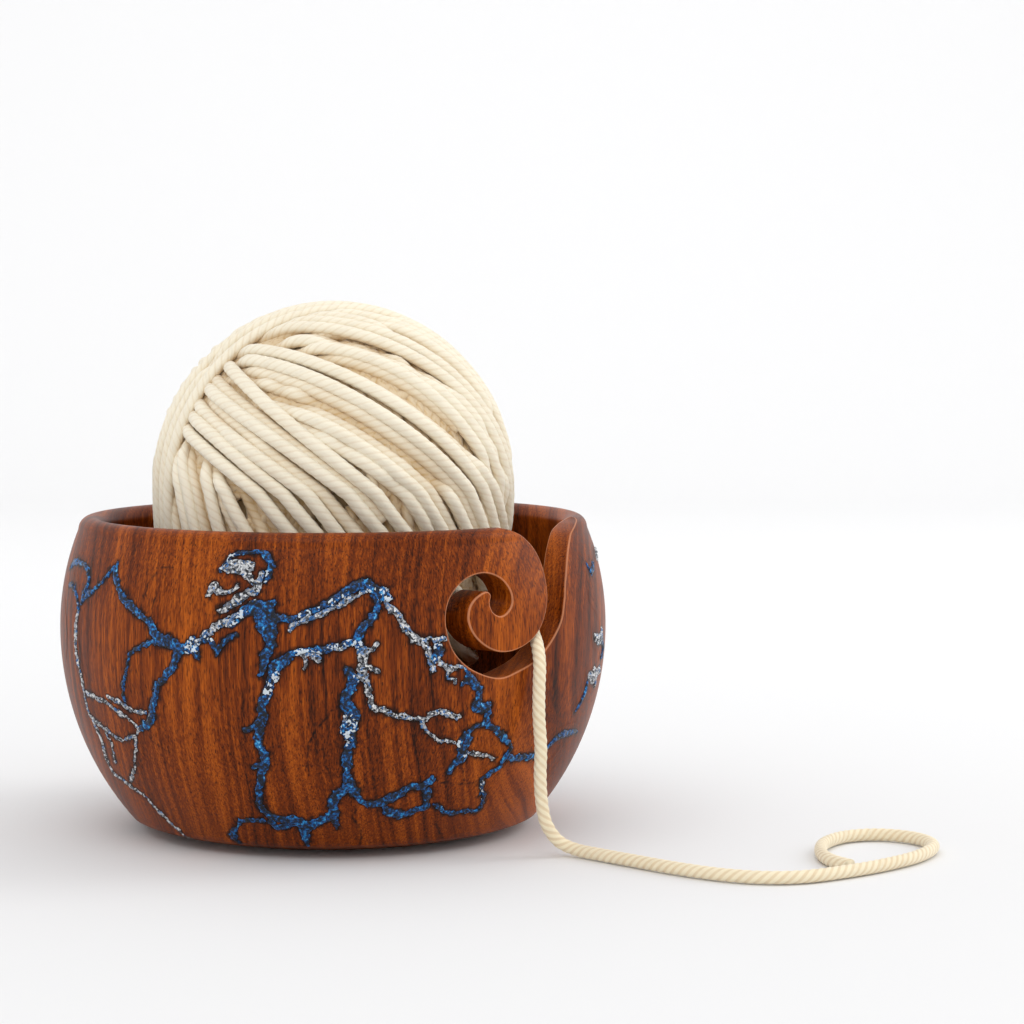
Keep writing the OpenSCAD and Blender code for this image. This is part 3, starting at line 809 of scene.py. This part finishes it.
# Each vein is a run of stations: degrees from the front toward the right, height, width.
# They lie burnt into the wall, and the resin stands a little proud of the wood.
veins = {
    "grid": 0.45, "height": 0.5, "sunk": 0.12, "rough": 0.5, "wander": 0.5, "wider": 0.5,
    "charWidth": 1.05, "overlay": 0.05, "overlayReach": 2.6,
    "unroll": 86,                                 # radius that turns azimuth into millimetres
}
channels = {
    "blue_vein_left": [
        [(-73, 86, 1), (-69, 89, 1.5), (-64, 89, 1.5), (-60, 88, 1.5), (-58, 84, 1.5), (-60, 79, 1.5)],
        [(-70, 82, 1), (-65, 81, 1.5), (-61, 75, 1.5)],
        [(-49, 90, 1), (-51, 86, 1), (-54, 83, 1.5), (-60, 78, 2)],
        [(-48, 91, 1), (-48, 88, 2), (-46, 84, 2), (-43, 80, 2.5), (-38, 76, 2), (-35, 73, 2), (-34, 70, 3),
         (-31, 69, 3), (-26, 67, 2)],
        [(-33, 69, 1.5), (-39, 66, 1), (-42, 61, 1), (-44, 52, 1), (-44, 49, 1)],
        [(-28, 67, 3), (-29, 64, 3), (-30, 61, 2), (-34, 55, 2), (-35, 51, 2.5), (-36, 48, 2), (-37, 44, 2.5),
         (-40, 41, 1.5)],
        [(-27, 67, 2), (-25, 70, 1.5)], [(-25, 69, 2), (-24, 65, 2)]],
    "silver_vein_left": [
        [(-61, 75, 1.5), (-62, 70, 1.5), (-62, 62, 1.3), (-60, 50, 1)],
        [(-59, 49, 1), (-54, 48, 1.2), (-50, 47, 1), (-47, 45, 1.2), (-43, 43, 1), (-41, 40, 1.2)],
        [(-50, 50, 0.8), (-46, 48, 1), (-41, 46, 1), (-38, 46, 0.6)],
        [(-41, 40, 1), (-43, 38, 1), (-48, 36, 0.8), (-53, 38, 1), (-60, 42, 0.8), (-60, 50, 0.8)],
        [(-43, 37, 0.8), (-44, 33, 0.8), (-47, 27, 0.8), (-51, 22, 1)],
        [(-60, 42, 0.8), (-58, 37, 1), (-58, 32, 1), (-59, 24, 1), (-52, 20, 1.2)],
        [(-54, 37, 1), (-53, 33, 0.8), (-55, 27, 0.6)],
        [(-53, 20, 1), (-48, 17, 0.8), (-46, 13, 1), (-43, 8, 0.8), (-41, 4, 0.6)]],
    "blue_vein_centre": [
        [(-24, 69, 1.5), (-22, 71, 2)], [(-21, 70, 1.5), (-20, 67, 1.5)],
        [(-16, 72, 1.5), (-19, 69, 1.5), (-20, 66, 1)], [(-17, 75, 2), (-13, 80, 4), (-10, 79, 5)],
        [(-10, 88, 1.5), (-9.5, 92, 2), (-10, 95, 2), (-12, 97, 1.5), (-15, 96, 1.2), (-18, 95, 1),
         (-20, 91, 1)],
        [(-10, 79, 5), (-10, 76, 5.5), (-9, 73, 4), (-9, 69, 3), (-10, 66, 3), (-11, 60, 1.2)],
        [(-10, 80, 2), (-8.5, 81.5, 2)],
        [(-10, 76, 3), (-7, 77, 2), (-4, 77, 2), (0, 80, 2), (3, 82, 2), (6, 85, 2.5), (8, 87, 3),
         (10, 87, 3), (12, 85, 4), (14, 83, 3)],
        [(12, 84, 4), (12, 80, 2), (9, 74, 2.5), (8, 71, 2.5), (8.5, 69, 2.5)],
        [(24, 69, 2), (24, 66, 3), (23, 64, 2.5)],
        [(8, 70, 1.5), (4, 69, 2), (1, 67.5, 2.2), (-4, 67, 1.8), (-6, 65, 3), (-8, 62, 4), (-9, 57, 3),
         (-11, 50, 2)],
        [(-11, 50, 2), (-11, 46, 2.5), (-12, 42, 2), (-12, 38, 2.5), (-11, 34, 2.5), (-13, 26, 2),
         (-14, 20, 2), (-13, 16, 2), (-10, 14, 2.5), (-7, 14, 3), (-3, 12, 4), (0, 14, 2.5), (3, 16, 3),
         (3, 20, 3), (6, 25, 3)],
        [(-12, 44, 2), (-15, 43, 0.6)], [(-12, 32, 2), (-14, 31, 1)],
        [(-12, 13, 2), (-10, 11, 2), (-6, 13, 2)],
        [(-4, 11, 3.5), (-4, 8, 2), (-4, 5, 1)], [(3, 16, 2.5), (4, 11, 1)],
        [(-14, 13, 1.5), (-19, 13, 1.2), (-22, 10, 1.2), (-24, 7, 2), (-23, 5, 1)],
        [(6, 62, 2), (7, 59, 3), (6, 54, 2.5), (6, 50, 4), (7, 47, 4.5), (6, 43, 4), (7, 40, 3), (6, 37, 2),
         (6, 33, 3.5), (6, 30, 2), (7, 25, 3.5), (8, 22, 2), (9, 20, 1.2)],
        [(9, 20, 1.2), (12, 19, 2), (15, 20, 3), (18, 22, 2), (20, 24, 2), (23, 24, 2), (25, 26, 2)],
        [(14, 19, 2), (16, 16, 2.5), (19, 15, 2.5), (22, 16, 2), (25, 18, 2), (24, 23, 2)]],
    "silver_vein_centre": [
        [(-26, 67, 1), (-23, 70.5, 2.2), (-21, 73, 2.2), (-19, 75, 2), (-15, 78.5, 1.8)],
        [(-20, 79, 1), (-18, 80, 2), (-14, 84, 2.5), (-12, 86, 2.5), (-11, 90, 1.6)],
        [(-19, 92, 2.5), (-17, 92, 4), (-14, 92, 3)], [(-15, 90, 2), (-13, 88, 2)],
        [(-22, 84, 1.5), (-21, 86, 2), (-19, 84, 1.5), (-16, 86, 1.2)],
        [(-5, 74, 1), (-4, 75.5, 1.5), (0, 78, 1.5), (3, 80, 1.5), (8, 84, 1.2), (10, 85, 1)],
        [(14, 85, 1.5), (14, 81, 1.5), (16, 78, 2), (17, 74, 2), (19, 71, 2.5), (21, 69, 2), (22, 65, 2),
         (23, 61, 2)],
        [(21, 70, 1), (23, 70, 1.2), (26, 70, 1)], [(24, 64, 1), (26, 61, 1.2), (29, 61, 1)],
        [(27, 61, 1), (26, 58, 1), (28, 57, 1)],
        [(9, 68, 2.5), (9, 64, 2.5), (9, 61, 2.5), (10, 56, 1.5), (11, 50, 1.2), (15, 48, 1.2), (21, 46, 1),
         (24, 48, 1.5), (29, 46, 1.5)],
        [(10, 62, 1.5), (12, 60.5, 1)], [(10, 67, 1), (11.5, 69, 1)],
        [(21, 46, 1), (22, 42, 0.8), (25, 39, 0.8), (29, 38, 0.8)],
        [(-3, 67, 1.4), (-2, 64, 1), (-2.5, 62, 0.8)], [(-2, 66.5, 1), (0.5, 65, 1)],
        [(3, 68, 1.2), (7, 69.6, 1)],
        [(5.5, 47, 1.8), (6.5, 43, 1.8), (6, 40, 1)], [(-7.5, 60, 1), (-9.5, 55, 1)]],
    "blue_vein_right": [
        [(30, 61, 1.5), (31, 58, 2), (33, 54, 2.5), (33, 51, 2), (33, 48, 3), (36, 48, 2), (36, 43, 1.2)],
        [(31, 57, 1.5), (29.5, 56, 1)], [(31, 35, 2.5), (32, 38, 2), (32, 41, 1), (35, 43, 1)],
        [(35, 48, 1), (36, 43, 1.5), (39, 40, 2), (42, 37, 2), (44, 34, 1.5), (43, 31, 2)],
        [(43, 31, 2), (48, 30, 2), (54, 30, 2), (57, 32, 1.2), (60, 34, 1.5), (64, 35, 2), (71, 34, 1)],
        [(29, 29, 2), (30, 31, 2.5), (31, 33, 3), (30, 37, 1.5), (31, 40, 1.5)],
        [(27, 17.5, 1), (32, 14, 1), (36, 14, 1), (41, 14, 1), (40, 19, 1.5), (38, 24, 1), (42, 28, 1),
         (43, 31, 2)],
        [(72, 88, 0.8), (74, 85, 1.6), (77, 87, 1.2)], [(78, 63, 2), (80, 60, 2.5), (79, 57, 1.5)],
        [(66, 42, 1), (69, 47, 1.5), (70, 52, 1)]],
    "silver_vein_right": [
        [(32, 34, 1), (36, 33, 1), (40, 31, 0.8)], [(72, 65, 2), (76, 63, 3), (78, 66, 2)],
        [(70, 53, 2), (74, 51, 3.5), (78, 53, 3)], [(73, 54, 2), (76, 49, 2)], [(39, 19, 1), (38.5, 23, 1)],
        [(84, 88, 1.5), (90, 90, 2), (97, 86, 1.5)]],
    "blue_vein_back": [
        [(108, 90, 1), (112, 88, 2), (118, 80, 3), (128, 76, 3.4), (140, 80, 3), (152, 74, 3.6), (166, 78, 3),
         (180, 70, 2.4)],
        [(128, 76, 3), (126, 64, 2.8), (130, 50, 3), (126, 36, 2.6), (132, 22, 2.6), (130, 10, 1.2)],
        [(152, 74, 3), (156, 60, 3.2), (150, 46, 2.8), (158, 32, 2.8), (154, 16, 2.4)],
        [(156, 60, 2.4), (168, 54, 2.4), (176, 44, 2.2), (178, 34, 1)], [(118, 80, 1.6), (112, 74, 1)],
        [(130, 50, 1.6), (138, 46, 1.2), (142, 38, 1)], [(166, 78, 1.6), (170, 86, 1)],
        [(126, 36, 1.4), (118, 31, 1)]],
    "silver_vein_back": [
        [(-95, 88, 1), (-98, 86, 1.8), (-106, 78, 2.4), (-116, 80, 2.2), (-128, 72, 2.8), (-142, 76, 2.2),
         (-158, 68, 2), (-166, 62, 1)],
        [(-116, 80, 2.2), (-118, 66, 2.2), (-112, 52, 2.2), (-116, 38, 2), (-110, 28, 1)],
        [(-128, 72, 2.4), (-134, 58, 2.4), (-130, 42, 2.2), (-138, 26, 2.2), (-134, 14, 1.6)],
        [(-118, 66, 1.4), (-126, 62, 1), (-128, 56, 0.8)], [(-142, 76, 1.4), (-146, 84, 1)],
        [(-130, 42, 1.2), (-142, 40, 1), (-150, 44, 0.8)]],
}
cracks = [                                                     # burnt lines too fine to hold resin
    [(-39, 78, 0.8), (-38, 82, 0.5), (-37, 85, 0.5), (-38, 90, 0.4)],
    [(-37, 85, 0.5), (-36, 88, 0.5), (-34, 91, 0.5), (-31, 91, 0.4)],
    [(-35, 75, 0.8), (-35, 80, 0.8), (-34, 85, 0.5)],
    [(-37, 46, 0.6), (-38, 38, 0.8), (-36, 36, 0.5), (-33, 34, 0.5)],
    [(5, 50, 1), (3, 49, 0.8), (1, 46, 0.8), (-1, 41, 0.8), (-2, 36, 0.8), (-2, 29, 0.6)],
    [(9, 19, 0.8), (8, 15, 0.8), (10, 9, 0.8), (10, 5, 0.6)], [(29, 11, 0.8), (33, 5, 0.8)],
    [(31, 32, 1), (32, 28, 0.8), (33, 25, 0.5)], [(27, 25, 0.8), (32, 24, 0.8), (38, 23, 0.8)],
    [(70, 90, 0.6), (72, 86, 0.8), (73, 80, 0.5)], [(71, 78, 0.6), (75, 73, 0.4)],
    [(58, 20, 0.5), (64, 28, 0.5), (66, 36, 0.5)],
    [(62, 16, 0.5), (68, 24, 0.5)], [(-72, 60, 0.5), (-70, 66, 0.5), (-73, 74, 0.4)],
]


# signed distance to the nearest vein's edge on a grid of (azimuth, run): distance to each
# tapering segment less its half width, roughened by two sizes of noise; also which vein is the
# nearest
def veinField():
    top = float(runAtHeight(97.0, False))
    rows, columns = int(top / veins["grid"]), int(2 * math.pi * veins["unroll"] / veins["grid"])
    azimuth = np.arange(columns) * 2 * math.pi / columns - math.pi
    run = np.linspace(6.0, top, rows)
    azimuths, runsAt = np.meshgrid(azimuth, run)
    radius = np.interp(run, sectionRun, section[:, 0])[:, None]
    ax, ry = azimuths * veins["unroll"], runsAt
    asideA = latticeNoise(ax * 0.42, ry * 0.42, 1) + 0.6 * latticeNoise(ax * 1.05, ry * 1.05, 2)
    asideR = latticeNoise(ax * 0.42 + 70, ry * 0.42 + 31, 3) + 0.6 * latticeNoise(ax * 1.05, ry * 1.05, 4)
    wa = azimuths + veins["wander"] * asideA / radius
    wr = runsAt + veins["wander"] * asideR
    names = list(channels) + ["crack"]
    reach, far = 6, 9.0                          # how far off a segment counts, and the field past it
    field = {name: np.full(azimuths.shape, far) for name in names}
    for name in names:
        wider = 0 if name == "crack" else veins["wider"]
        for route in cracks if name == "crack" else channels[name]:
            route = smoothRoute([(math.radians(a), float(runAtHeight(z, False)), w) for a, z, w in route], 4)
            for (a0, r0, w0), (a1, r1, w1) in zip(route[:-1], route[1:]):
                low = np.searchsorted(run, min(r0, r1) - reach)
                high = np.searchsorted(run, max(r0, r1) + reach)
                mid = float(np.interp((r0 + r1) / 2, sectionRun, section[:, 0]))
                first = int((min(a0, a1) - reach / mid + math.pi) / (2 * math.pi) * columns)
                last = int((max(a0, a1) + reach / mid + math.pi) / (2 * math.pi) * columns) + 1
                at = np.arange(first, last) % columns
                window = np.ix_(np.arange(low, high), at)
                x = (wa[window] - a0 + math.pi) % (2 * math.pi) - math.pi
                x, y = x * mid, wr[window] - r0
                dx, dy = (a1 - a0) * mid, r1 - r0
                t = np.clip((x * dx + y * dy) / max(dx * dx + dy * dy, 1e-9), 0, 1)
                d = np.hypot(x - t * dx, y - t * dy) - (w0 + (w1 - w0) * t + wider) / 2
                field[name][window] = np.minimum(field[name][window], d)
    rough = veins["rough"] * (0.5 * latticeNoise(ax * 0.75, ry * 0.75, 5)
                              + 0.5 * latticeNoise(ax * 1.6, ry * 1.6, 6))
    for name in names:
        field[name] = field[name] + rough * (0.45 if name == "crack" else 1.0)
    return azimuth, run, field


# whether outer wall points lie in the guide's opening, seen along its cut
def inGuide(a, r):
    edge, _ = evenly(smoothRoute(guide["edge"], 10), guide["step"])
    edge = np.concatenate([edge, [[edge[-1, 0], 112], [edge[0, 0], 112]]])
    radius, z = np.interp(r, sectionRun, section[:, 0]), np.interp(r, sectionRun, section[:, 1])
    turned = (a - math.radians(guide["angle"]) + math.pi) % (2 * math.pi) - math.pi
    hit = np.zeros(a.shape, bool)
    close = np.abs(turned) < 0.7
    hit[close] = insideLoop((radius * np.sin(turned))[close], z[close], edge)
    return hit


# the kept cells of the grid as quads, with the grid points that they use renumbered
def gridPatch(keep, columns):
    used, quads = np.unique(cellQuads(*np.nonzero(keep), columns), return_inverse=True)
    return used, quads.reshape(-1, 4)


# resin over the cells where a vein's field is below 0, its edge points drawn onto the zero line,
# and its height rising with the root of how deep in it a point lies, times a lumpy noise; then the
# burnt wood near every vein and crack, as one thin skin
def buildVeins(blue, silver):
    azimuth, run, field = veinField()
    columns = len(azimuth)
    azimuths, runsAt = np.meshgrid(azimuth, run)
    radius = np.broadcast_to(np.interp(run, sectionRun, section[:, 0])[:, None], azimuths.shape)
    stepA, stepR = 2 * math.pi / columns, run[1] - run[0]
    names = list(channels)
    opening = inGuide(azimuths.ravel(), runsAt.ravel()).reshape(azimuths.shape)
    for axis in (0, 1):
        opening = opening | np.roll(opening, 1, axis) | np.roll(opening, -1, axis)
    clear = ~(opening | np.roll(opening, -1, 1))
    clear = clear[:-1] & clear[1:]
    stack = np.stack([field[n] for n in names])
    nearest = stack.argmin(0)
    everything = stack.min(0)
    for n, name in enumerate(names):
        # a vein that meets another stops where the other is nearer
        f = np.maximum(field[name], np.where(nearest == n, -9, (field[name] - everything) * 0.5 - 0.02))
        inside = f < 0
        cell = inside | np.roll(inside, -1, 1)
        used, quads = gridPatch((cell[:-1] | cell[1:]) & clear, columns)
        a, r, v, rad = (grid.ravel()[used] for grid in (azimuths, runsAt, f, radius))
        gr = np.gradient(f, stepR, axis=0).ravel()[used]
        ga = (np.roll(f, -1, 1) - np.roll(f, 1, 1)).ravel()[used] / (2 * stepA) / rad
        size = np.maximum(ga ** 2 + gr ** 2, 0.3)
        back = np.clip(v, 0, 0.7)
        a, r = a - back * ga / size / rad, r - back * gr / size
        deep = np.clip(-v / 0.8, 0, 1)
        x, y = a * veins["unroll"], r
        lumps = (latticeNoise(x * 0.9, y * 0.9, 21 + n) * 0.35
                 + latticeNoise(x * 2.1, y * 2.1, 31 + n) * 0.22)
        isSilver = name.startswith("silver")
        proud = (veins["height"] + veins["sunk"]) * np.sqrt(deep) * (1 + lumps * (1.1 if isSilver else 0.8))
        others = [field[k].ravel()[used] for k in names if k.startswith("silver") != isSilver]
        made = meshObject(name + "_resin", onBowl(a, r, proud - veins["sunk"]), [quads],
                          silver if isSilver else blue)
        setAttribute(made, "mixed", np.clip(1 - np.minimum.reduce(others) / 2.2, 0, 1))
        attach(made, "bowl")
        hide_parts(name)
        print(made.name, len(quads) * 2)

    # char: black beside the resin, a weaker scorch further out, and the cracks' own lines
    resin, crack = everything, field["crack"]
    near = np.minimum(resin, crack) < veins["overlayReach"]
    x, y = azimuths * veins["unroll"], runsAt
    noise = latticeNoise(x * 0.55, y * 0.55, 41) * 0.5 + latticeNoise(x * 1.7, y * 1.7, 42) * 0.35 + 0.55
    width = veins["charWidth"] * np.clip(noise * 1.5, 0.25, 2.0)
    ring = np.clip(1 - np.maximum(resin, 0) / width, 0, 1) ** 0.8
    scorch = 0.35 * np.clip(1 - resin / 2.2, 0, 1) * np.clip(noise, 0, 1)
    line = np.clip(0.3 - crack / 0.3, 0, 1) * np.clip(noise * 1.4, 0, 1)
    char = np.clip(np.maximum.reduce([ring, scorch, line * 0.9]), 0, 1)
    cell = near & np.roll(near, -1, 1)
    used, quads = gridPatch(cell[:-1] & cell[1:] & clear, columns)
    skin = onBowl(azimuths.ravel()[used], runsAt.ravel()[used], veins["overlay"])
    made = meshObject("burnt_edges", skin, [quads], hardwood)
    setAttribute(made, "char", char.ravel()[used])
    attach(made, "bowl")
    print(made.name, len(quads) * 2)


# cast resin full of pearl powder: deep navy to bright cyan in drifts, under a clear gloss, with
# more leaf in it where it meets a silver vein
def blueResin():
    made, tree, shader = newMaterial("pearl_blue_resin")
    inMm = placeInMm(tree)
    drift = noiseOf(tree, inMm, 0.32, 5.0, 0.68, 1.2)
    speck = noiseOf(tree, inMm, 1.0, 2.0, 0.6)
    tone = swing(tree, speck, 0.85, drift)
    colour = colourRamp(tree, tone, [(0.38, "#020814"), (0.50, "#03264a"), (0.60, "#06559c"),
                                     (0.72, "#1f94cc"), (0.85, "#b4e4f0")])
    flake = addNode(tree, "TexVoronoi", {"Vector": inMm, "Scale": 1.25})
    cell = addNode(tree, "SeparateColor", {0: flake.outputs["Color"]}).outputs[0]
    leaf = maths(tree, "MULTIPLY_ADD", attributeOf(tree, "mixed"), 0.45, cell)
    glint = maths(tree, "MULTIPLY", maths(tree, "GREATER_THAN", leaf, 1.06), 0.8)
    dress(tree, shader, blendColour(tree, glint, colour, toLinear("#dfe9ef")), tone, 0.5, 0.0004,
          {"Metallic": 0.2, "Roughness": 0.4, "Specular IOR Level": 0.25, "Coat Weight": 0.3,
           "Coat Roughness": 0.07})
    return made


# crumpled metal leaf in clear resin: white glints broken up by dark gaps, with blue flakes where
# it meets a blue vein
def silverResin():
    made, tree, shader = newMaterial("silver_leaf_resin")
    inMm = placeInMm(tree)
    warp = addNode(tree, "TexNoise", {"Vector": inMm, "Scale": 0.8}).outputs[1]
    bent = addNode(tree, "VectorMath", {0: inMm, 1: warp}, operation="ADD").outputs[0]
    flake = addNode(tree, "TexVoronoi", {"Vector": bent, "Scale": 1.5})
    parts = addNode(tree, "SeparateColor", {0: flake.outputs["Color"]})
    crumple = noiseOf(tree, inMm, 1.1, 4.0, 0.7, 0.8)
    tone = swing(tree, crumple, 1.5, parts.outputs[0])
    colour = colourRamp(tree, tone, [(0.10, "#15161b"), (0.26, "#4c4f56"), (0.52, "#989ca4"),
                                     (0.85, "#eceded")])
    flecks = maths(tree, "MULTIPLY_ADD", attributeOf(tree, "mixed"), 0.35, parts.outputs[1])
    blueShare = maths(tree, "MULTIPLY", maths(tree, "GREATER_THAN", flecks, 0.9), 0.75)
    dress(tree, shader, blendColour(tree, blueShare, colour, toLinear("#2a74b8")), tone, 0.9, 0.0006,
          {"Metallic": 0.45, "Roughness": 0.34, "Coat Weight": 0.3, "Coat Roughness": 0.08})
    return made


buildVeins(blueResin(), silverResin())
print("veins ready")
